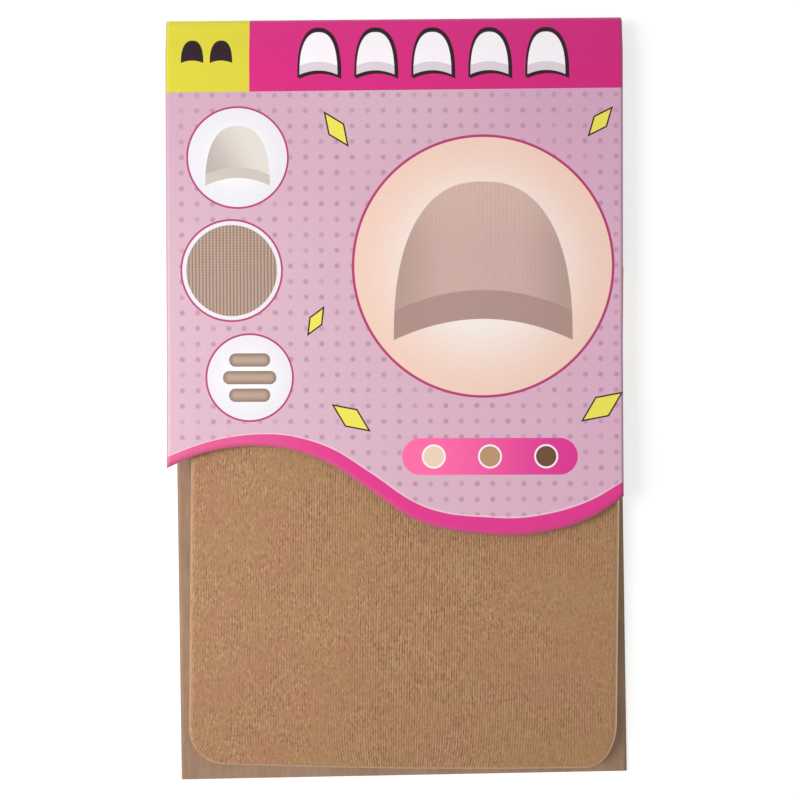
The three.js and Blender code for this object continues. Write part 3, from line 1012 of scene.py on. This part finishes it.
def makeKnitMaterial():
    material, tree, shader = startMaterial("knittedNylon", 0.72, sheen=0.08, specular=0.3)
    course, rim = attribute(tree, "course"), attribute(tree, "rim")
    place = newNode(tree, "ShaderNodeTexCoord").outputs["Object"]

    # ribs run even near the middle, and stray more at the sides
    across = split(tree, place)[0]
    even = fade(tree, calc(tree, "ABSOLUTE", across), 0.056, 0.012, -0.1, 0.1)
    even = fade(tree, plus(tree, noise(tree, place, 28.0, 2.0, 0.5), even), 0.4, 0.6)
    drawn = vectorCalc(tree, "MULTIPLY", place, (520.0, 130.0, 520.0))
    stray = minus(tree, noise(tree, drawn, 1.0, 2.0, 0.6), 0.5)
    stray = times(tree, stray, times(tree, yarn["wander"], minus(tree, 1.15, even)))
    wale = plus(tree, attribute(tree, "wale"), stray)
    acrossRib = minus(tree, calc(tree, "FRACT", plus(tree, wale, 0.5)), 0.5)

    def swell(turns):
        # 1 at whole turns and 0 halfway between them
        wave = calc(tree, "COSINE", times(tree, turns, 2 * math.pi))
        return plus(tree, 0.5, times(tree, 0.5, wave))

    rib = swell(wale)
    slant = times(tree, calc(tree, "ABSOLUTE", acrossRib), 1.3)
    loop = swell(plus(tree, course, slant))

    def flecks(shift, seed, pace):
        # short marks along the ribs, one random row for each rib
        cell = newNode(tree, "ShaderNodeCombineXYZ")
        feed(tree, cell.inputs[0], times(tree, calc(tree, "FLOOR", plus(tree, wale, shift)), 5.37))
        feed(tree, cell.inputs[1], times(tree, course, pace))
        cell.inputs[2].default_value = seed
        return fade(tree, noise(tree, cell.outputs[0], 1.0, 1.0, 0.5), 0.47, 0.66)

    zone = fade(tree, noise(tree, place, 95.0, 3.0, 0.55), 0.36, 0.62, 0.6, 1.0)
    zone = times(tree, zone, fade(tree, across, 0.02, 0.055, 1.0, 0.72))
    gap = calc(tree, "POWER", minus(tree, 1.0, rib), 1.6)
    streaks = times(tree, flecks(0.0, 5.7, 0.2), yarn["streakShare"])
    darkness = times(tree, even, plus(tree, streaks, yarn["ribShare"]))
    darkness = plus(tree, darkness, times(tree, flecks(0.0, 2.3, 0.42), yarn["fleckShare"]))
    darkness = times(tree, times(tree, gap, darkness), zone)
    glints = calc(tree, "MAXIMUM", flecks(0.5, 8.1, 0.42), times(tree, even, flecks(0.5, 3.9, 0.2)))
    glint = times(tree, times(tree, rib, glints), times(tree, zone, yarn["glintShare"]))
    warmth = fade(tree, noise(tree, place, 75.0, 2.0, 0.5), 0.4, 0.6)
    thread = layOver(tree, yarn["thread"], yarn["warm"], warmth)
    thread = layOver(tree, thread, yarn["gap"], darkness)
    thread = layOver(tree, thread, yarn["lit"], glint)
    loopShade = times(tree, minus(tree, 1.0, loop), 0.12)
    thread = layOver(tree, thread, yarn["gap"], loopShade)
    # the knit turns a little darker towards the toe
    thread = layOver(tree, thread, yarn["gap"], fade(tree, course, 80.0, 5.0, 0.0, 0.07))
    # paler knit along the outline: partly thin stretched knit, partly painted sheen
    thread = layOver(tree, thread, yarn["rim"], fade(tree, rim, 0.1, 0.75, 0.0, 0.9))
    thread = layOver(tree, thread, yarn["edge"], fade(tree, rim, 0.6, 2.0))
    feed(tree, shader.inputs["Base Color"], thread)

    fuzz = noise(tree, place, 4200.0, 2.0, 0.6)
    ribLift = times(tree, rib, plus(tree, 0.1, times(tree, even, 0.15)))
    height = plus(tree, ribLift, times(tree, loop, 0.3))
    height = plus(tree, height, times(tree, fuzz, 0.25))
    height = plus(tree, height, times(tree, minus(tree, glint, darkness), 0.7))
    addBump(tree, shader, height, 0.6, 0.12)
    return material


makeStudio()
fibres = makeBoardFibres()
plainFace = makeBoardMaterial("plainBoard", fibres, "9e8069", "8b6f59", 0.8)
cutEdge = makeBoardMaterial("cutEdge", fibres, "94806d", "7a6857", 0.85)
insertBoard = makeBoardMaterial("insertBoard", fibres, "e2ded6", "cfc9be", 0.8)
printed = makePrintMaterial()
knitted = makeKnitMaterial()
makeDisplayCard(printed, plainFace, cutEdge)

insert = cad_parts["insert_card"]
insert.data.materials.clear()
insert.data.materials.append(insertBoard)

relief = makeReliefTree()
clearance, wall, hem = stack["clearance"], stack["wall"], stack["hemThickening"]
innerCap = makeSleeve("inner_sleeve", clearance, 0, clearance + wall, hem,
                      mouthUp - stack["innerShorter"], False)
raiseRibs(innerCap, relief, knitted, knit["seed"] + 5)
outerCap = makeSleeve("knitted_sleeve", stack["outerOutset"] - wall, hem, stack["outerOutset"],
                      2 * hem, mouthUp, True)
raiseRibs(outerCap, relief, knitted, knit["seed"])
for obj, node, resting in ((innerCap, "inner_cap", "insert_card"),
                           (outerCap, "wig_cap", innerCap.name)):
    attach(obj, "root")
    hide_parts(node)
    print(node, "sleeve:", len(obj.data.polygons), "faces")
